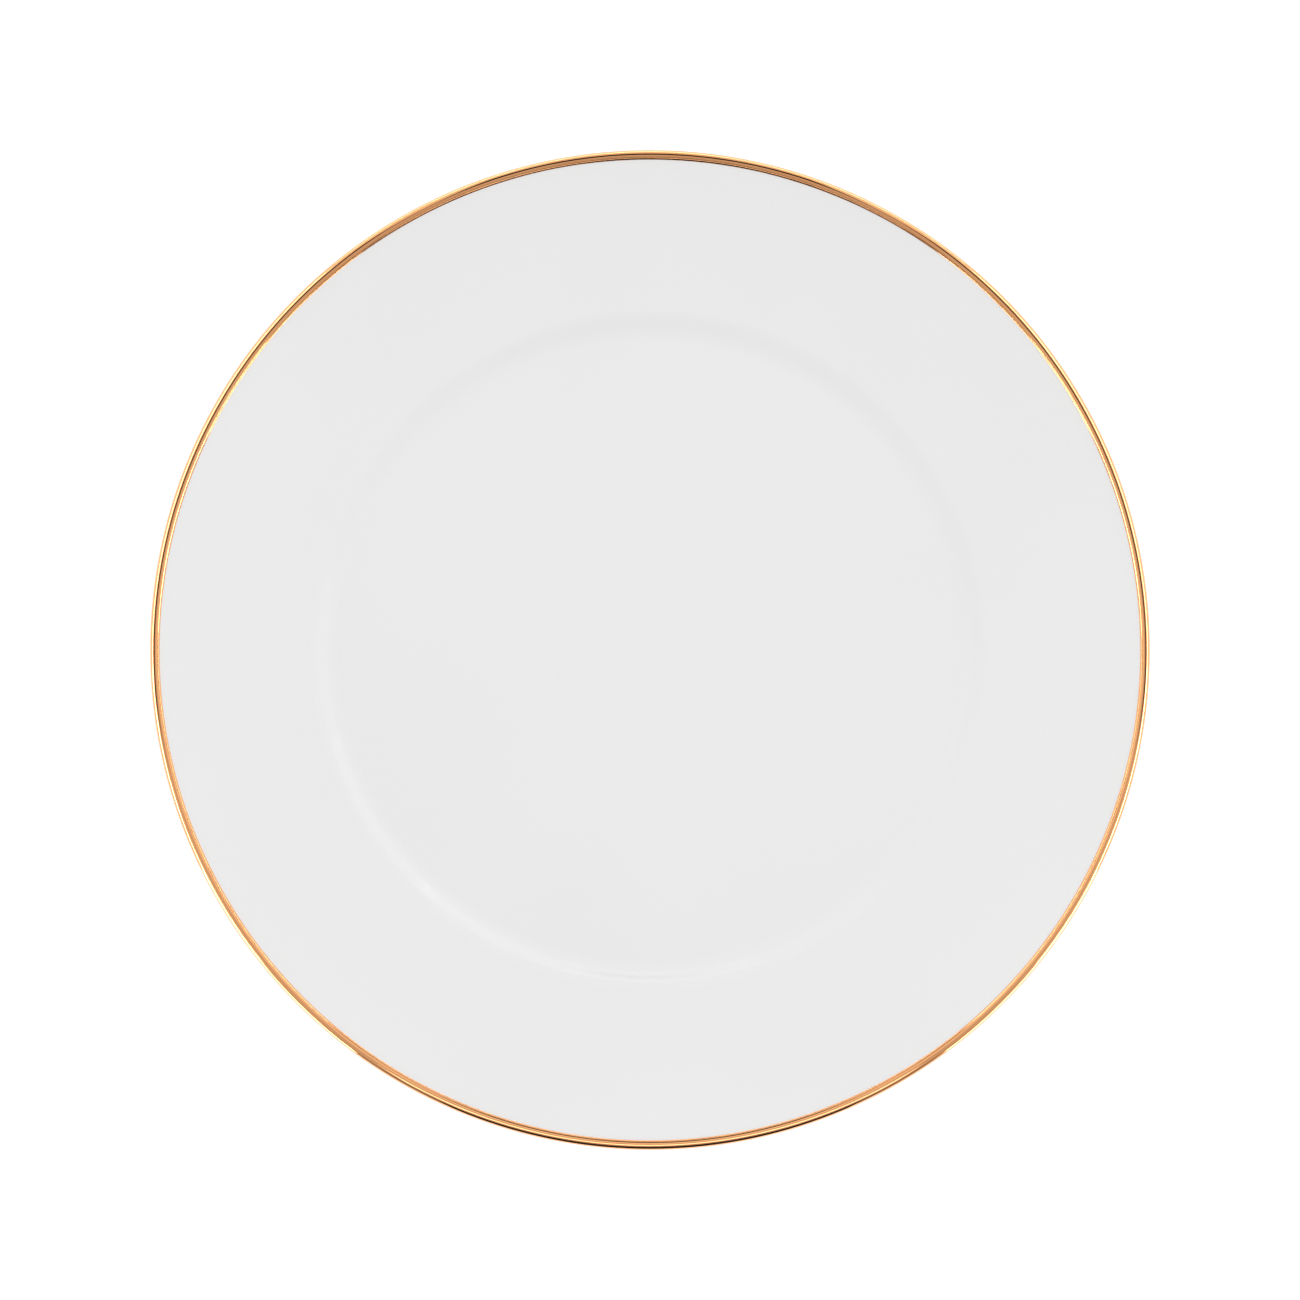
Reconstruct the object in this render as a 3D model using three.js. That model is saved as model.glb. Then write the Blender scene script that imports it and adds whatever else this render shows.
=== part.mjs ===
// A china dinner plate with a gold lip. A turned bone-china body carries two coats of glaze that stop
// short of the bare tip of its foot ring, and a gold band lies over the glaze around the rounded lip.
// Millimetres, +Z up. The origin is on the table, in the middle of the foot ring.
import * as THREE from "three";

// Overall size
const PLATE_RADIUS = 135;
const PLATE_HEIGHT = 19.5;
const FACETS = 60; // a multiple of 4, so that facet corners lie on the X and Y axes

// Coats, measured square to the surface under them
const GLAZE_THICKNESS = 0.25;
const GOLD_THICKNESS = 0.12;

// Well: a floor that crowns a little in the middle, and the soft step up to the rim
const WELL_RADIUS = 84;
const WELL_EDGE_Z = 7.45;
const WELL_CROWN = 0.9;
const STEP_WIDTH = 8.8;
const STEP_RISE = 2.4;
const STEP_HANDLE = 3; // how far each end of the step runs on before it bends

// Rim and lip: the lip is a round bead that stands a little proud of the rim's face
const RIM_EDGE_SLOPE = 16.5; // degrees, on the face beside the lip
const LIP_RADIUS = 1.03;
const LIP_FACE_ANGLE = 135; // where the face meets the lip's round section, in degrees from straight out
const LIP_BACK_ANGLE = -67.5; // where the back leaves it
const LIP_FILLET = 0.5;

// Back of the rim and of the step
const RIM_THICKNESS = 3.55;
const RIM_BACK_SLOPE = 9; // degrees, where the back of the rim meets the back of the step
const BACK_STEP_RADIUS = 84;
const BACK_STEP_Z = 3.8;
const BACK_STEP_SLOPE = 6; // degrees, at the inner end of the back of the step
const BACK_HANDLE_INNER = 4.5;
const BACK_HANDLE_OUTER = 2.2;

// Foot ring: a low wedge that stands on a narrow flat face
const FOOT_RADIUS = 78.5;
const FOOT_CONTACT_WIDTH = 1.6;
const FOOT_CORNER = 0.55;
const FOOT_TOP_WIDTH = 4.6;
const FOOT_TOP_Z = 3;
const BARE_FOOT_HEIGHT = 1.1; // the glaze is wiped off below this

// Underside inside the foot ring
const BASE_RADIUS = 73;
const BASE_EDGE_Z = 3.85;
const BASE_CROWN = 0.5;

// The gold starts partway up the fillet beside the lip and stops before the back of the lip
const FILLET_STEPS = 2;
const LIP_STEPS = 9;
const BARE_FILLET_STEPS = 1;
const BARE_LIP_STEPS = 2;

const at = (radius, z) => new THREE.Vector2(radius, z);
const slopeOf = (degrees) => Math.tan(THREE.MathUtils.degToRad(degrees));

// The point that lies further out along a slope, and the one at a distance along it
const along = (point, slope, run) => at(point.x + run, point.y + run * slope);
const onSlope = (point, slope, distance) => along(point, slope, distance / Math.hypot(1, slope));

// The curve that leaves one point at a slope and reaches the next at another
function bend(start, startSlope, end, endSlope) {
  const rise = end.y - start.y + startSlope * start.x - endSlope * end.x;
  const corner = along(start, startSlope, rise / (startSlope - endSlope) - start.x);
  return new THREE.QuadraticBezierCurve(start, corner, end);
}

// The points of a chain of [curve, steps], each curve starting where the last one ends
function trace(...chain) {
  return chain.flatMap(([curve, steps], i) => curve.getPoints(steps).slice(i === 0 ? 0 : 1));
}

// The floor of the well or of the base, crowned in the middle, from the axis out to its edge
function crownedFloor(edge, crown) {
  const middle = edge.y + crown;
  return new THREE.QuadraticBezierCurve(at(0, middle), at(edge.x / 2, middle), edge);
}
const crownedEdgeSlope = (edge, crown) => (-2 * crown) / edge.x;

// The round section of the lip, at an angle from straight out
function lipPoint(degrees) {
  const inset = GLAZE_THICKNESS + GOLD_THICKNESS + LIP_RADIUS;
  const angle = THREE.MathUtils.degToRad(degrees);
  const centre = at(PLATE_RADIUS - inset, PLATE_HEIGHT - inset);
  return at(Math.cos(angle), Math.sin(angle)).multiplyScalar(LIP_RADIUS).add(centre);
}
const lipSlope = (degrees) => -1 / slopeOf(degrees);

const rimStart = at(WELL_RADIUS + STEP_WIDTH, WELL_EDGE_Z + STEP_RISE);

// The face: well, step and rim, and the fillet that runs up to the lip
function faceLine() {
  const wellEdge = at(WELL_RADIUS, WELL_EDGE_Z);
  const lipStart = lipPoint(LIP_FACE_ANGLE);
  const filletCorner = onSlope(lipStart, lipSlope(LIP_FACE_ANGLE), -LIP_FILLET);
  const rimEndSlope = slopeOf(RIM_EDGE_SLOPE);
  const rimEnd = onSlope(filletCorner, rimEndSlope, -LIP_FILLET);
  const rimMeanSlope = (rimEnd.y - rimStart.y) / (rimEnd.x - rimStart.x);
  const rimStartSlope = 2 * rimMeanSlope - rimEndSlope;
  const step = new THREE.CubicBezierCurve(
    wellEdge,
    along(wellEdge, crownedEdgeSlope(wellEdge, WELL_CROWN), STEP_HANDLE),
    along(rimStart, rimStartSlope, -STEP_HANDLE),
    rimStart,
  );
  const rim = bend(rimStart, rimStartSlope, rimEnd, rimEndSlope);
  const fillet = new THREE.QuadraticBezierCurve(rimEnd, filletCorner, lipStart);
  return trace([crownedFloor(wellEdge, WELL_CROWN), 3], [step, 7], [rim, 4], [fillet, FILLET_STEPS]);
}

// The lip, from the step after the last point of the face to the first point of the back
function lipLine() {
  const angleAfter = (steps) => THREE.MathUtils.lerp(LIP_FACE_ANGLE, LIP_BACK_ANGLE, steps / LIP_STEPS);
  return Array.from({ length: LIP_STEPS }, (_, i) => lipPoint(angleAfter(i + 1)));
}

// One wall of the foot ring: side is 1 for the outer wall and -1 for the inner one
function footWall(side) {
  const bottom = at(FOOT_RADIUS + side * (FOOT_CONTACT_WIDTH / 2 + FOOT_CORNER), FOOT_CORNER);
  const top = at(FOOT_RADIUS + (side * FOOT_TOP_WIDTH) / 2, FOOT_TOP_Z);
  const slope = (top.y - bottom.y) / (top.x - bottom.x);
  const glazeEdge = along(bottom, slope, (BARE_FOOT_HEIGHT - bottom.y) / slope);
  return { bottom, top, slope, glazeEdge };
}

// The back, from after the lip to where the glaze stops on the outer wall of the foot ring
function backLine() {
  const wall = footWall(1);
  const rimBack = at(rimStart.x, rimStart.y - RIM_THICKNESS);
  const rimBackSlope = slopeOf(RIM_BACK_SLOPE);
  const stepBack = at(BACK_STEP_RADIUS, BACK_STEP_Z);
  const stepBackSlope = slopeOf(BACK_STEP_SLOPE);
  const underRim = bend(lipPoint(LIP_BACK_ANGLE), lipSlope(LIP_BACK_ANGLE), rimBack, rimBackSlope);
  const underStep = new THREE.CubicBezierCurve(
    rimBack,
    along(rimBack, rimBackSlope, -BACK_HANDLE_OUTER),
    along(stepBack, stepBackSlope, BACK_HANDLE_INNER),
    stepBack,
  );
  const fillet = bend(stepBack, stepBackSlope, wall.top, wall.slope);
  const side = new THREE.LineCurve(wall.top, wall.glazeEdge);
  return trace([underRim, 4], [underStep, 5], [fillet, 2], [side, 1]).slice(1);
}

// The bare tip of the foot ring, from its outer wall across the standing face to its inner wall
function footTip() {
  const corner = (side) => {
    const wall = footWall(side);
    const standingEdge = at(FOOT_RADIUS + (side * FOOT_CONTACT_WIDTH) / 2, 0);
    return bend(wall.bottom, wall.slope, standingEdge, 0).getPoints(2);
  };
  return [...corner(1), ...corner(-1).toReversed()];
}

// The underside inside the foot ring, from the axis to where its glaze stops on the inner wall
function baseLine() {
  const wall = footWall(-1);
  const baseEdge = at(BASE_RADIUS, BASE_EDGE_Z);
  const fillet = bend(baseEdge, crownedEdgeSlope(baseEdge, BASE_CROWN), wall.top, wall.slope);
  const side = new THREE.LineCurve(wall.top, wall.glazeEdge);
  return trace([crownedFloor(baseEdge, BASE_CROWN), 2], [fillet, 2], [side, 1]);
}

// A line moved sideways by a distance, to its left as it runs; a point on the axis stays on it
function coat(line, distance) {
  return line.map((point, i) => {
    if (point.x === 0) return at(0, point.y + distance);
    const ahead = (line[i + 1] ?? point).clone().sub(point).normalize();
    const behind = point.clone().sub(line[i - 1] ?? point).normalize();
    const way = ahead.add(behind).normalize();
    return at(point.x - distance * way.y, point.y + distance * way.x);
  });
}

// A solid turned about the plate's axis from a closed outline, which may start and end on the axis
function turned(name, outline, finish) {
  const closed = outline[0].x === 0 ? outline : [...outline, outline[0]];
  const facingOut = THREE.ShapeUtils.isClockWise(closed) ? closed.toReversed() : closed;
  const geometry = new THREE.LatheGeometry(facingOut, FACETS);
  const mesh = new THREE.Mesh(geometry, new THREE.MeshStandardMaterial(finish));
  mesh.name = name;
  mesh.rotation.x = Math.PI / 2; // a lathe turns about Y
  return mesh;
}

const BISQUE = { color: 0xf1ece2, roughness: 0.75, metalness: 0 };
const GLAZE = { color: 0xf4f3f1, roughness: 0.08, metalness: 0 };
const GOLD = { color: 0xdc9a48, roughness: 0.12, metalness: 1 };

const face = faceLine();
const glazedLine = [...face, ...lipLine(), ...backLine()];
const base = baseLine();
const glazeSurface = coat(glazedLine, GLAZE_THICKNESS);
const lipStep = face.length - 1;
const gildedLine = glazeSurface.slice(
  lipStep - FILLET_STEPS + BARE_FILLET_STEPS,
  lipStep + LIP_STEPS - BARE_LIP_STEPS + 1,
);

const plate = new THREE.Group();
plate.add(
  turned("china_body", [...glazedLine, ...footTip(), ...base.toReversed()], BISQUE),
  turned("outer_glaze", [...glazedLine, ...glazeSurface.toReversed()], GLAZE),
  turned("base_glaze", [...base, ...coat(base, -GLAZE_THICKNESS).toReversed()], GLAZE),
  turned("gold_rim_band", [...gildedLine, ...coat(gildedLine, GOLD_THICKNESS).toReversed()], GOLD),
);

export default plate;
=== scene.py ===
# A china dinner plate with a gold lip, seen from straight above on a pale studio floor.
import math

import bmesh
import bpy
import numpy as np
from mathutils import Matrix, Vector


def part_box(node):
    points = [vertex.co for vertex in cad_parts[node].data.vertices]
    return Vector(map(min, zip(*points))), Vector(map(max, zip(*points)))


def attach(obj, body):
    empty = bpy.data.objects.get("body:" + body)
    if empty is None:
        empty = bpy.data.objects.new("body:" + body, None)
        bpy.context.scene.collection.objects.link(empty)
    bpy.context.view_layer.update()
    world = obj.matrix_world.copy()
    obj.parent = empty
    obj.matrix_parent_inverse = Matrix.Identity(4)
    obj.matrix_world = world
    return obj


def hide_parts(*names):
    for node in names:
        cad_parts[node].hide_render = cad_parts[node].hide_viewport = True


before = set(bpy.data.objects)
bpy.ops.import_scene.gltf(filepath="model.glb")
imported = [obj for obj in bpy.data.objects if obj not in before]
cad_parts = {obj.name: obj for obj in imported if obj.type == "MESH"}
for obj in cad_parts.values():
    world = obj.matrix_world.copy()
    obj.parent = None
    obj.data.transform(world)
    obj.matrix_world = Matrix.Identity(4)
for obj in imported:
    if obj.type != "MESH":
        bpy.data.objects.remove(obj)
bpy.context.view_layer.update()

MM = 0.001

# ---------------------------------------------------------------------------------------------------------
# The plate's section. A line is an array of (radius, height) points in metres. The overall sizes come from
# the CAD solids, and the curves between them are the CAD's own, with finer steps.

PLATE_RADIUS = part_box("gold_rim_band")[1].x
PLATE_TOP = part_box("gold_rim_band")[1].z
GOLD = PLATE_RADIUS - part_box("outer_glaze")[1].x
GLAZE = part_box("outer_glaze")[1].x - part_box("china_body")[1].x

# Well and step
WELL_RADIUS = 84 * MM
WELL_EDGE_Z = 7.45 * MM
WELL_CROWN = 0.9 * MM
STEP_WIDTH = 8.8 * MM
STEP_RISE = 2.4 * MM
STEP_HANDLE = 3 * MM

# Rim and lip, with angles in degrees
RIM_EDGE_SLOPE = 16.5
LIP_RADIUS = 1.03 * MM
LIP_CENTRE = np.array([PLATE_RADIUS, PLATE_TOP]) - (GOLD + GLAZE + LIP_RADIUS)
LIP_FACE_ANGLE = 135
LIP_BACK_ANGLE = -67.5
LIP_FILLET = 0.5 * MM

# Back of the rim and of the step
RIM_THICKNESS = 3.55 * MM
RIM_BACK_SLOPE = 9
BACK_STEP = np.array([84, 3.8]) * MM
BACK_STEP_SLOPE = 6
BACK_HANDLE_INNER = 4.5 * MM
BACK_HANDLE_OUTER = 2.2 * MM

# Foot ring and the underside inside it
FOOT_RADIUS = 78.5 * MM
FOOT_CONTACT_WIDTH = 1.6 * MM
FOOT_CORNER = 0.55 * MM
FOOT_TOP_WIDTH = 4.6 * MM
FOOT_TOP_Z = 3 * MM
BARE_FOOT_HEIGHT = 1.1 * MM
BASE_EDGE = np.array([73, 3.85]) * MM
BASE_CROWN = 0.5 * MM

# How many steps each stretch of the section is drawn with
WELL_STEPS = 16
STEP_STEPS = 24
RIM_STEPS = 18
FILLET_STEPS = 8
LIP_STEPS = 36
BACK_STEPS = 20
WALL_STEPS = 3
BASE_STEPS = 12

NEAR_AXIS = 1e-9
THINNEST = 0.08  # what is left of a film's thickness at its very edge, as a share


def slope_of(degrees):
    return math.tan(math.radians(degrees))


def along(point, slope, run):
    """The point that lies run further out on a slope."""
    return point + np.array([run, run * slope])


def on_slope(point, slope, distance):
    """The point at a distance along a slope."""
    return along(point, slope, distance / math.hypot(1, slope))


def bezier(controls, steps):
    """The points of a Bezier curve with any number of controls."""
    share = np.linspace(0, 1, steps + 1)[:, None]
    points = [np.repeat([c], steps + 1, axis=0) for c in controls]
    while len(points) > 1:
        points = [a + (b - a) * share for a, b in zip(points, points[1:])]
    return points[0]


def bend(start, start_slope, end, end_slope, steps):
    """The curve that leaves one point at a slope and reaches the next at another."""
    rise = end[1] - start[1] + start_slope * start[0] - end_slope * end[0]
    corner = along(start, start_slope, rise / (start_slope - end_slope) - start[0])
    return bezier([start, corner, end], steps)


def chain(*lines):
    """Lines joined end to end, without the repeated point at each join."""
    return np.vstack([lines[0]] + [line[1:] for line in lines[1:]])


def crowned_floor(edge, crown, steps):
    """A floor crowned in the middle, from the axis out to its edge, and its slope there."""
    middle = edge[1] + crown
    line = bezier([(0, middle), (edge[0] / 2, middle), edge], steps)
    return line, -2 * crown / edge[0]


def lip_point(degrees):
    angle = math.radians(degrees)
    return LIP_CENTRE + LIP_RADIUS * np.array([math.cos(angle), math.sin(angle)])


RIM_START = np.array([WELL_RADIUS + STEP_WIDTH, WELL_EDGE_Z + STEP_RISE])


def face_line():
    """Well, step, rim and the fillet up to the lip, from the axis outwards."""
    well_edge = np.array([WELL_RADIUS, WELL_EDGE_Z])
    well, well_slope = crowned_floor(well_edge, WELL_CROWN, WELL_STEPS)
    lip_start = lip_point(LIP_FACE_ANGLE)
    lip_slope = -1 / slope_of(LIP_FACE_ANGLE)
    corner = on_slope(lip_start, lip_slope, -LIP_FILLET)
    rim_end_slope = slope_of(RIM_EDGE_SLOPE)
    rim_end = on_slope(corner, rim_end_slope, -LIP_FILLET)
    run, rise = rim_end - RIM_START
    rim_start_slope = 2 * rise / run - rim_end_slope
    step = bezier(
        [
            well_edge,
            along(well_edge, well_slope, STEP_HANDLE),
            along(RIM_START, rim_start_slope, -STEP_HANDLE),
            RIM_START,
        ],
        STEP_STEPS,
    )
    rim = bend(RIM_START, rim_start_slope, rim_end, rim_end_slope, RIM_STEPS)
    fillet = bezier([rim_end, corner, lip_start], FILLET_STEPS)
    return chain(well, step, rim, fillet)


def lip_line():
    """The lip's round section, from face to back."""
    angles = np.linspace(LIP_FACE_ANGLE, LIP_BACK_ANGLE, LIP_STEPS + 1)
    return np.array([lip_point(a) for a in angles])


def foot_wall(side):
    """Bottom, top and slope of a wall of the foot ring: side is 1 for the outer wall, -1 for the inner."""
    bottom = np.array([FOOT_RADIUS + side * (FOOT_CONTACT_WIDTH / 2 + FOOT_CORNER), FOOT_CORNER])
    top = np.array([FOOT_RADIUS + side * FOOT_TOP_WIDTH / 2, FOOT_TOP_Z])
    return bottom, top, (top[1] - bottom[1]) / (top[0] - bottom[0])


def glaze_edge(side):
    """Where the glaze stops on a wall of the foot ring."""
    bottom, _, slope = foot_wall(side)
    return along(bottom, slope, (BARE_FOOT_HEIGHT - bottom[1]) / slope)


def back_line():
    """The back of the plate, from the lip to the glaze's edge on the foot ring's outer wall."""
    _, wall_top, wall_slope = foot_wall(1)
    rim_back = RIM_START - np.array([0, RIM_THICKNESS])
    rim_back_slope = slope_of(RIM_BACK_SLOPE)
    step_slope = slope_of(BACK_STEP_SLOPE)
    lip_slope = -1 / slope_of(LIP_BACK_ANGLE)
    under_rim = bend(lip_point(LIP_BACK_ANGLE), lip_slope, rim_back, rim_back_slope, RIM_STEPS)
    under_step = bezier(
        [
            rim_back,
            along(rim_back, rim_back_slope, -BACK_HANDLE_OUTER),
            along(BACK_STEP, step_slope, BACK_HANDLE_INNER),
            BACK_STEP,
        ],
        BACK_STEPS,
    )
    fillet = bend(BACK_STEP, step_slope, wall_top, wall_slope, FILLET_STEPS)
    return chain(under_rim, under_step, fillet, bezier([wall_top, glaze_edge(1)], WALL_STEPS))


def foot_tip():
    """The bare tip of the foot ring, from its outer wall across the standing face to its inner wall."""
    halves = []
    for side in (1, -1):
        bottom, _, slope = foot_wall(side)
        standing_edge = np.array([FOOT_RADIUS + side * FOOT_CONTACT_WIDTH / 2, 0])
        corner = bend(bottom, slope, standing_edge, 0, FILLET_STEPS)
        halves.append(chain(bezier([glaze_edge(side), bottom], WALL_STEPS), corner))
    return np.vstack([halves[0], halves[1][::-1]])


def base_line():
    """The underside inside the foot ring, from the axis to the glaze's edge on the inner wall."""
    _, wall_top, wall_slope = foot_wall(-1)
    floor, floor_slope = crowned_floor(BASE_EDGE, BASE_CROWN, BASE_STEPS)
    fillet = bend(floor[-1], floor_slope, wall_top, wall_slope, FILLET_STEPS)
    return chain(floor, fillet, bezier([wall_top, glaze_edge(-1)], WALL_STEPS))


def lengths(line):
    """How far along a line each of its points lies."""
    return np.concatenate([[0], np.cumsum(np.hypot(*np.diff(line, axis=0).T))])


def stretch(line, start, end, points):
    """A stretch of a line, between two distances along it."""
    wanted = np.linspace(start, end, points)
    so_far = lengths(line)
    return np.column_stack([np.interp(wanted, so_far, line[:, k]) for k in (0, 1)])


def coat(line, thickness):
    """A line moved to its left by a thickness, which may vary along it. A point on the axis stays there."""
    ahead = np.diff(line, axis=0, append=line[-1:])
    ahead[:-1] /= np.hypot(*ahead[:-1].T)[:, None]
    behind = np.vstack([np.zeros((1, 2)), ahead[:-1]])
    way = ahead + behind
    way /= np.hypot(*way.T)[:, None]
    way[line[:, 0] < NEAR_AXIS] = (1, 0)
    return line + np.column_stack([-way[:, 1], way[:, 0]]) * np.reshape(thickness, (-1, 1))


def rounded_film(line, thickness, edge, both_ends):
    """The thickness along a film that thins out in a quarter round at its end, or at both ends."""
    so_far = lengths(line)
    room = so_far[-1] - so_far
    if both_ends:
        room = np.minimum(room, so_far)
    share = np.clip(room / edge, 0, 1)
    return thickness * (THINNEST + (1 - THINNEST) * np.sqrt(1 - (1 - share) ** 2))


# ---------------------------------------------------------------------------------------------------------
# Turned meshes

AROUND = 288
MERGE_DISTANCE = 1e-8
RIM_WARP = 0.12 * MM
RIM_WARP_SEED = 3
RIM_WARP_WAVES = (2, 3, 5)


def waver(angle, seed, waves):
    """A closed wander between -1 and 1 as the angle goes round, made of waves that fit round the plate the
    given numbers of times."""
    rng = np.random.default_rng(seed)
    phases = rng.uniform(0, 2 * math.pi, len(waves))
    sizes = rng.uniform(0.5, 1, len(waves))
    return sum(s * np.sin(w * angle + p) for w, p, s in zip(waves, phases, sizes)) / sizes.sum()


def warp(radius, angle):
    """How far firing has lifted the rim at a place. The foot ring was ground flat afterwards."""
    reach = np.clip((radius - FOOT_RADIUS) / (PLATE_RADIUS - FOOT_RADIUS), 0, None)
    return RIM_WARP * reach**2 * waver(angle, RIM_WARP_SEED, RIM_WARP_WAVES)


def turned(name, outline_at, material):
    """A mesh turned about Z. outline_at(angle) is its closed outline there, which may end on the axis."""
    angles = np.linspace(0, 2 * math.pi, AROUND, endpoint=False)
    outlines = np.array([outline_at(a) for a in angles])
    radius, height = outlines[..., 0], outlines[..., 1]
    angle = angles[:, None]
    lifted = height + warp(radius, angle)
    points = np.stack([radius * np.cos(angle), radius * np.sin(angle), lifted], axis=-1)
    count = points.shape[1]
    here = np.arange(AROUND * count).reshape(AROUND, count)
    there = np.roll(here, -1, axis=0)
    quads = np.stack([here, there, np.roll(there, -1, axis=1), np.roll(here, -1, axis=1)], axis=-1)
    ends_on_axis = outlines[0, 0, 0] < NEAR_AXIS
    if ends_on_axis:
        quads = quads[:, :-1]
    mesh = bpy.data.meshes.new(name)
    mesh.from_pydata(points.reshape(-1, 3).tolist(), [], quads.reshape(-1, 4).tolist())
    form = bmesh.new()
    form.from_mesh(mesh)
    bmesh.ops.remove_doubles(form, verts=form.verts, dist=MERGE_DISTANCE)
    bmesh.ops.recalc_face_normals(form, faces=form.faces)
    for face in form.faces:
        face.smooth = True
    form.to_mesh(mesh)
    form.free()
    mesh.materials.append(material)
    piece = bpy.data.objects.new(name, mesh)
    bpy.context.scene.collection.objects.link(piece)
    return piece


# ---------------------------------------------------------------------------------------------------------
# Materials

GLAZE_DARK = (0.760, 0.760, 0.759, 1)
GLAZE_LIGHT = (0.770, 0.770, 0.770, 1)
CLAY_DARK = (0.74, 0.70, 0.63, 1)
CLAY_LIGHT = (0.80, 0.775, 0.72, 1)
CLAY_WORN = (0.60, 0.57, 0.51, 1)
GOLD_DARK = (0.98, 0.41, 0.13, 1)
GOLD_LIGHT = (1.0, 0.45, 0.155, 1)

# How high above the table the foot's wear reaches
WEAR_HEIGHT = 0.4 * MM

# The range that noise mostly keeps to
NOISE_LOW = 0.3
NOISE_HIGH = 0.7


class Nodes:
    """Builds a node tree: each call adds a node, sets its inputs and links what is linkable."""

    def __init__(self, tree):
        self.tree = tree
        self.tree.nodes.clear()

    def fill(self, node, inputs):
        for key, value in inputs.items():
            if isinstance(value, bpy.types.NodeSocket):
                self.tree.links.new(value, node.inputs[key])
            else:
                node.inputs[key].default_value = value
        return node

    def add(self, kind, inputs=(), **settings):
        node = self.tree.nodes.new("ShaderNode" + kind)
        for key, value in settings.items():
            setattr(node, key, value)
        return self.fill(node, dict(inputs))

    def math(self, operation, a, b=0.0):
        return self.add("Math", {0: a, 1: b}, operation=operation).outputs[0]

    def noise(self, vector, scale, detail=2.0, roughness=0.5):
        inputs = {"Vector": vector, "Scale": scale, "Detail": detail, "Roughness": roughness}
        return self.add("TexNoise", inputs).outputs["Fac"]

    def spread(self, value, low, high, to_low=0.0, to_high=1.0):
        """A value between low and high mapped to one between to_low and to_high."""
        inputs = {"Value": value, "From Min": low, "From Max": high, "To Min": to_low, "To Max": to_high}
        return self.add("MapRange", inputs).outputs["Result"]

    def mottle(self, vector, scale, detail, to_low=0.0, to_high=1.0):
        """Noise, spread over the values between to_low and to_high."""
        return self.spread(self.noise(vector, scale, detail), NOISE_LOW, NOISE_HIGH, to_low, to_high)

    def blend(self, factor, a, b):
        """A mix of two colours. The node's inputs go by number, as some of them share a name."""
        return self.add("Mix", {0: factor, 6: a, 7: b}, data_type="RGBA").outputs[2]

    def between(self, factor, a, b):
        """A mix of two numbers."""
        return self.add("Mix", {0: factor, 2: a, 3: b}).outputs[0]

    def total(self, start, *parts):
        """A number plus a share of each of some values, given as (value, share) pairs."""
        for value, share in parts:
            start = self.math("ADD", self.math("MULTIPLY", value, share), start)
        return start

    def place(self):
        return self.add("TexCoord").outputs["Object"]

    def bump(self, height, distance, strength=1.0):
        inputs = {"Height": height, "Distance": distance, "Strength": strength}
        return self.add("Bump", inputs).outputs["Normal"]

    def turned_place(self, around, across):
        """A place that changes slowly round the plate and fast across it, for lines left by turning."""
        split = self.add("SeparateXYZ", {"Vector": self.place()}).outputs
        angle = self.math("ARCTAN2", split["Y"], split["X"])
        squares = self.math("ADD", self.squared(split["X"]), self.squared(split["Y"]))
        radius = self.math("POWER", squares, 0.5)
        return self.add(
            "CombineXYZ",
            {
                "X": self.math("MULTIPLY", self.math("SINE", angle), around),
                "Y": self.math("MULTIPLY", self.math("COSINE", angle), around),
                "Z": self.math("MULTIPLY", radius, across),
            },
        ).outputs["Vector"]

    def squared(self, value):
        return self.math("MULTIPLY", value, value)

    def finish(self, kind, **inputs):
        """The surface shader, linked to the output."""
        shader = self.add(kind, {key.replace("_", " "): v for key, v in inputs.items()})
        self.add("OutputMaterial", {"Surface": shader.outputs[0]})


def new_material(name):
    material = bpy.data.materials.new(name)
    material.use_nodes = True
    return material, Nodes(material.node_tree)


def glaze_material():
    """Clear glaze over white china: a smooth gloss with a faint orange peel."""
    material, nodes = new_material("white_glaze")
    place = nodes.place()
    cloud = nodes.mottle(place, scale=14, detail=3)
    peel = nodes.noise(place, scale=220)
    nodes.finish(
        "BsdfPrincipled",
        Base_Color=nodes.blend(cloud, GLAZE_DARK, GLAZE_LIGHT),
        Roughness=nodes.mottle(place, scale=60, detail=3, to_low=0.05, to_high=0.09),
        Normal=nodes.bump(peel, distance=0.02 * MM, strength=0.5),
        IOR=1.5,
    )
    return material


def bisque_material():
    """Bare fired bone china: warm white, dry and finely grained, greyed where it has stood on tables."""
    material, nodes = new_material("bare_china")
    place = nodes.place()
    height = nodes.add("SeparateXYZ", {"Vector": place}).outputs["Z"]
    cloud = nodes.mottle(place, scale=90, detail=4)
    clay = nodes.blend(cloud, CLAY_DARK, CLAY_LIGHT)
    low = nodes.spread(height, low=0, high=WEAR_HEIGHT, to_low=1, to_high=0)
    rubbed = nodes.spread(nodes.noise(place, scale=110, detail=4), low=0.35, high=0.75)
    worn = nodes.math("MULTIPLY", low, rubbed)
    grain = nodes.noise(place, scale=3200, detail=3, roughness=0.6)
    rings = nodes.noise(nodes.turned_place(around=2, across=9000), scale=1)
    nodes.finish(
        "BsdfPrincipled",
        Base_Color=nodes.blend(worn, clay, CLAY_WORN),
        Roughness=nodes.spread(cloud, low=0, high=1, to_low=0.68, to_high=0.82),
        Normal=nodes.bump(nodes.math("ADD", grain, rings), distance=0.03 * MM),
    )
    return material


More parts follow.
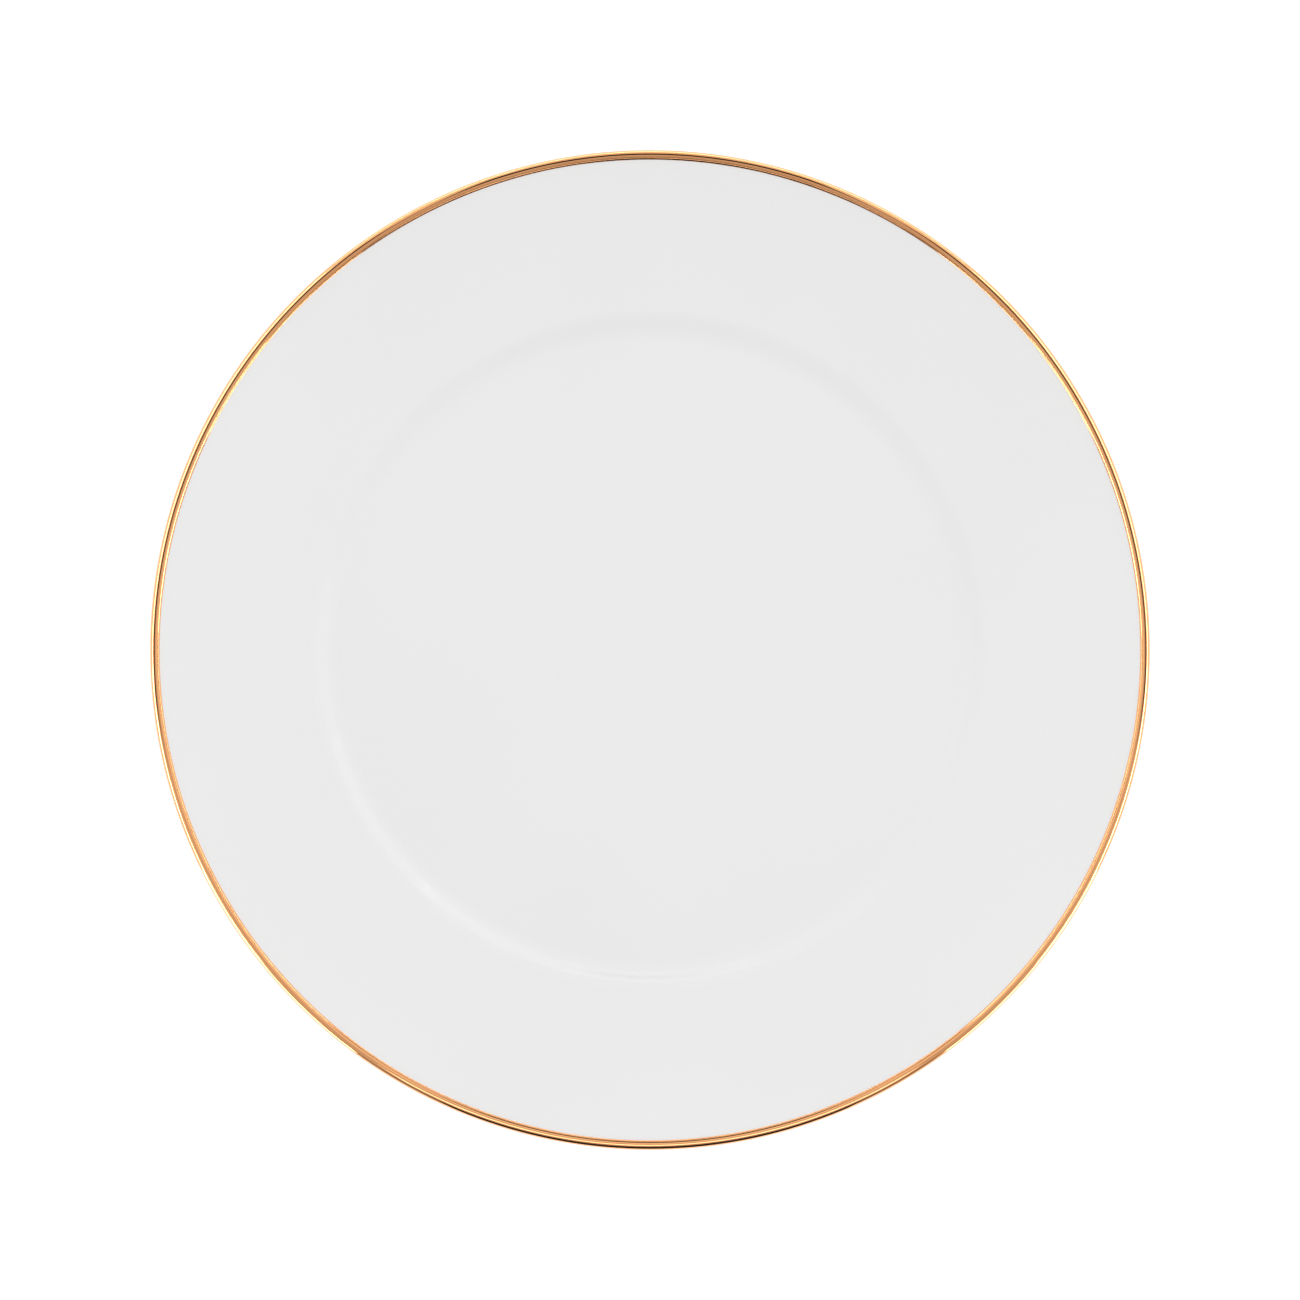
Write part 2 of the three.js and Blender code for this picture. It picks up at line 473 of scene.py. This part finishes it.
def gold_material():
    """Fired bright gold, brushed on while the plate turned: fine lines run round the band. A clear coat
    makes its glancing reflections paler."""
    material, nodes = new_material("fired_gold")
    cloud = nodes.mottle(nodes.place(), scale=45, detail=3)
    strokes = nodes.noise(nodes.turned_place(around=6, across=7000), scale=1, detail=3)
    nodes.finish(
        "BsdfPrincipled",
        Base_Color=nodes.blend(cloud, GOLD_DARK, GOLD_LIGHT),
        Metallic=1.0,
        Roughness=nodes.spread(strokes, NOISE_LOW, NOISE_HIGH, to_low=0.05, to_high=0.09),
        Coat_Weight=1.0,
        Coat_Roughness=0.04,
        Coat_IOR=1.78,
        Normal=nodes.bump(strokes, distance=0.004 * MM, strength=0.5),
    )
    return material


# ---------------------------------------------------------------------------------------------------------
# Pieces

# How much the wiped edge of the glaze and the painted edges of the gold wander, and how far each film thins
# out before its edge
GLAZE_WANDER = 0.12 * MM
GLAZE_WAVES = (4, 7, 11, 17, 26)
GLAZE_ROUNDING = 0.35 * MM
OUTER_GLAZE_SEED = 11
BASE_GLAZE_SEED = 12
GOLD_FACE_WANDER = 0.05 * MM
GOLD_FACE_WAVES = (5, 9, 16, 29)
GOLD_FACE_SEED = 21
GOLD_BACK_WANDER = 0.18 * MM
GOLD_BACK_WAVES = (3, 7, 13, 24)
GOLD_BACK_SEED = 22
GOLD_ROUNDING = 0.25 * MM
WALL_POINTS = 9
GOLD_POINTS = 48

# Where the gold starts and ends, in steps from the start of the lip's round section
GOLD_FIRST_STEP = -4
GOLD_LAST_STEP = 28

face = face_line()
lip_start = len(face) - 1
glazed_line = chain(face, lip_line(), back_line())
glaze_surface = coat(glazed_line, GLAZE)
base = base_line()
body_section = np.vstack([glazed_line, foot_tip()[1:-1], base[::-1]])


def glaze_outline(line, side, seed):
    """The outline of a coat on one side of a line that runs from the axis to the foot ring. It stops a
    little unevenly, where the foot was wiped."""
    so_far = lengths(line)

    def outline_at(angle):
        stop = so_far[-1] - GLAZE_WANDER * (1 + waver(angle, seed, GLAZE_WAVES))
        wall = stretch(line, so_far[-1 - WALL_STEPS], stop, WALL_POINTS)
        inner = chain(line[:-WALL_STEPS], wall)
        film = rounded_film(inner, GLAZE, GLAZE_ROUNDING, both_ends=False)
        return np.vstack([inner, coat(inner, side * film)[::-1]])

    return outline_at


def gold_outline(angle):
    """The outline of the gold on the glaze, with both edges a little uneven from the brush."""
    so_far = lengths(glaze_surface)
    face_wander = GOLD_FACE_WANDER * waver(angle, GOLD_FACE_SEED, GOLD_FACE_WAVES)
    back_wander = GOLD_BACK_WANDER * waver(angle, GOLD_BACK_SEED, GOLD_BACK_WAVES)
    start = so_far[lip_start + GOLD_FIRST_STEP] + face_wander
    end = so_far[lip_start + GOLD_LAST_STEP] + back_wander
    inner = stretch(glaze_surface, start, end, GOLD_POINTS)
    film = rounded_film(inner, GOLD, GOLD_ROUNDING, both_ends=True)
    return np.vstack([inner, coat(inner, film)[::-1]])


def add_pieces():
    """Adds every piece, and gives them by the CAD node that each stands for."""
    glaze = glaze_material()
    plans = {
        "china_body": (lambda angle: body_section, bisque_material(), "bisque"),
        "outer_glaze": (glaze_outline(glazed_line, 1, OUTER_GLAZE_SEED), glaze, "glaze"),
        "base_glaze": (glaze_outline(base, -1, BASE_GLAZE_SEED), glaze, "glaze"),
        "gold_rim_band": (gold_outline, gold_material(), "gold"),
    }
    pieces = {}
    for node, (outline_at, material, slot) in plans.items():
        piece = turned("fine_" + node, outline_at, material)
        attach(piece, "root")
        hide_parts(node)
        pieces[node] = piece
    return pieces


# ---------------------------------------------------------------------------------------------------------
# Studio

FLOOR_RADIUS = 12
FLOOR_COLOUR = (0.86, 0.86, 0.86, 1)
FLOOR_GLOW = 0.32
CARD_COLOUR = (0.02, 0.02, 0.02, 1)


def add_floor():
    """The studio's pale floor. It glows a little, so that it stays white around the plate's soft shadow."""
    material, nodes = new_material("studio_floor")
    nodes.finish(
        "BsdfPrincipled",
        Base_Color=FLOOR_COLOUR,
        Roughness=1.0,
        Specular_IOR_Level=0.0,
        Emission_Color=FLOOR_COLOUR,
        Emission_Strength=FLOOR_GLOW,
    )
    mesh = bpy.data.meshes.new("floor")
    form = bmesh.new()
    bmesh.ops.create_circle(form, cap_ends=True, segments=96, radius=FLOOR_RADIUS)
    form.to_mesh(mesh)
    form.free()
    mesh.materials.append(material)
    floor = bpy.data.objects.new("floor", mesh)
    bpy.context.scene.collection.objects.link(floor)


def facing_plate(place):
    """The turn that makes a panel at a place face the middle of the plate."""
    return (-Vector(place)).to_track_quat("-Z", "Y").to_euler()


def place_round(azimuth, reach, height):
    """A place at an azimuth in degrees from +X, at a distance from the plate's axis and a height."""
    angle = math.radians(azimuth)
    return (reach * math.cos(angle), reach * math.sin(angle), height)


def add_panel(name, place, size, radiance, diffuse=True, glossy=True, only=()):
    """A soft rectangular light that faces the plate and looks as bright as its radiance. It may light
    surfaces without being reflected in them, be reflected without lighting them, or reach only some of
    the pieces."""
    light = bpy.data.lights.new(name, "AREA")
    light.shape = "RECTANGLE"
    light.size, light.size_y = size
    light.energy = radiance * size[0] * size[1] * math.pi
    lamp = bpy.data.objects.new(name, light)
    bpy.context.scene.collection.objects.link(lamp)
    lamp.location = place
    lamp.rotation_euler = facing_plate(place)
    lamp.visible_camera = False
    lamp.visible_diffuse = diffuse
    lamp.visible_glossy = glossy
    if only:
        receivers = bpy.data.collections.new(name + "_lights")
        for piece in only:
            receivers.objects.link(piece)
        lamp.light_linking.receiver_collection = receivers


def add_card(name, place, size):
    """A black card that faces the plate. It is seen only in reflections."""
    material, nodes = new_material(name)
    nodes.finish("BsdfDiffuse", Color=CARD_COLOUR)
    width, height = size[0] / 2, size[1] / 2
    corners = [(-width, -height, 0), (width, -height, 0), (width, height, 0), (-width, height, 0)]
    mesh = bpy.data.meshes.new(name)
    mesh.from_pydata(corners, [], [(0, 1, 2, 3)])
    mesh.materials.append(material)
    card = bpy.data.objects.new(name, mesh)
    bpy.context.scene.collection.objects.link(card)
    card.location = place
    card.rotation_euler = facing_plate(place)
    card.visible_camera = False
    card.visible_diffuse = False
    card.visible_shadow = False


# The softboxes round the plate, at azimuths in degrees
SOFTBOX_AZIMUTHS = (48, 138, 228, 318)
SOFTBOX_REACH = 1.4
SOFTBOX_HEIGHT = 0.8

# The arc of lights that the step mirrors upwards, brightest in the middle. They stand edge to edge.
STEP_LIGHT_AZIMUTH = 62
STEP_LIGHT_TURNS = range(-60, 61, 30)
STEP_LIGHT_REACH = 0.6
STEP_LIGHT_HEIGHT = 0.79
STEP_LIGHT_WIDTH = 2 * STEP_LIGHT_REACH * slope_of(STEP_LIGHT_TURNS.step / 2)
STEP_LIGHT_RADIANCE = 0.78


def add_china_lights(glazes):
    """A soft light overhead, softboxes that the glaze mirrors when it is seen from the side, and the lights
    that the step mirrors upwards."""
    add_panel("key_light", (0.12, 0.16, 1.0), (0.8, 0.8), radiance=0.6, glossy=False)
    for azimuth in SOFTBOX_AZIMUTHS:
        place = place_round(azimuth, SOFTBOX_REACH, SOFTBOX_HEIGHT)
        add_panel("softbox", place, (0.16, 0.75), radiance=0.8, diffuse=False, only=glazes)
    for turn in STEP_LIGHT_TURNS:
        place = place_round(STEP_LIGHT_AZIMUTH + turn, STEP_LIGHT_REACH, STEP_LIGHT_HEIGHT)
        radiance = STEP_LIGHT_RADIANCE * math.cos(math.radians(turn))
        add_panel("step_light", place, (STEP_LIGHT_WIDTH, 0.2), radiance, diffuse=False, only=glazes)


def add_gold_lights(gold):
    """The lights and black cards that draw the lines in the gold."""
    add_panel("near_light", (0, -0.155, 0.139), (0.191, 0.034), radiance=2.4, only=gold)
    add_panel("far_light", (0, 0.394, 0.058), (0.64, 0.034), radiance=4.6, only=gold)
    add_card("far_card", (0, 0.23, 0.273), (0.2, 0.155))
    add_card("near_card", (0, -0.208, 0.045), (0.188, 0.08))
    for side in (-1, 1):
        add_panel("low_light", (side * 0.375, -0.314, 0.059), (0.24, 0.1), radiance=5.8, only=gold)
        add_panel("side_light", (side * 0.713, 0.143, 0.397), (1.15, 0.11), radiance=6, only=gold)
        add_panel("side_strip", (side * 0.586, -0.22, 0.293), (0.418, 0.054), radiance=9, only=gold)
        add_card("side_card", (side * 0.164, 0.076, 0.201), (0.242, 0.085))


# How bright the studio's walls and ceiling look. What the glaze and the gold reflect is brighter towards +Y
# and towards the sides, and dimmer straight up, where the camera hangs. The light that falls on things is
# even, and a little stronger from one side.
SURROUND = 0.62
SURROUND_FAR = 0.37
SURROUND_UP = 0.26
SURROUND_SIDES = 0.37
ZENITH_DIM = 0.25
ZENITH_START = 0.88
ZENITH_FULL = 0.97
FALL = 1.0
FALL_SIDE = 0.055
FALL_AZIMUTH = math.radians(57)
BACKDROP = 1.0


def add_world():
    """The studio's surround. Reflections, surfaces and the camera each see their own brightness of it."""
    world = bpy.data.worlds.new("studio")
    world.use_nodes = True
    nodes = Nodes(world.node_tree)
    way = nodes.add("SeparateXYZ", {"Vector": nodes.add("TexCoord").outputs["Generated"]}).outputs
    sides = nodes.math("SUBTRACT", nodes.squared(way["X"]), nodes.squared(way["Y"]))
    zenith = nodes.spread(way["Z"], ZENITH_START, ZENITH_FULL)
    reflected = nodes.total(
        SURROUND,
        (way["Y"], SURROUND_FAR),
        (way["Z"], SURROUND_UP),
        (sides, SURROUND_SIDES),
        (zenith, -ZENITH_DIM),
    )
    falling = nodes.total(
        FALL,
        (way["X"], FALL_SIDE * math.cos(FALL_AZIMUTH)),
        (way["Y"], FALL_SIDE * math.sin(FALL_AZIMUTH)),
    )
    ray = nodes.add("LightPath").outputs
    lit = nodes.between(ray["Is Glossy Ray"], falling, reflected)
    level = nodes.between(ray["Is Camera Ray"], lit, BACKDROP)
    background = nodes.add("Background", {"Color": (1, 1, 1, 1), "Strength": level})
    nodes.add("OutputWorld", {"Surface": background.outputs[0]})
    bpy.context.scene.world = world


# The camera looks straight down, with the plate's width filling this share of the image
PLATE_SHARE = 10 / 13
LENS = 200
SENSOR = 36


def add_camera():
    """A long lens at the distance where the widest part of the plate, the lip, fills its share."""
    data = bpy.data.cameras.new("camera")
    data.lens = LENS
    data.sensor_width = SENSOR
    data.clip_end = 100
    camera = bpy.data.objects.new("camera", data)
    bpy.context.scene.collection.objects.link(camera)
    distance = 2 * PLATE_RADIUS / PLATE_SHARE * LENS / SENSOR
    camera.location = (0, 0, LIP_CENTRE[1] + distance)
    bpy.context.scene.camera = camera


pieces = add_pieces()
add_floor()
add_china_lights([pieces["outer_glaze"], pieces["base_glaze"]])
add_gold_lights([pieces["gold_rim_band"]])
add_world()
add_camera()
bpy.context.scene.view_settings.view_transform = "Standard"
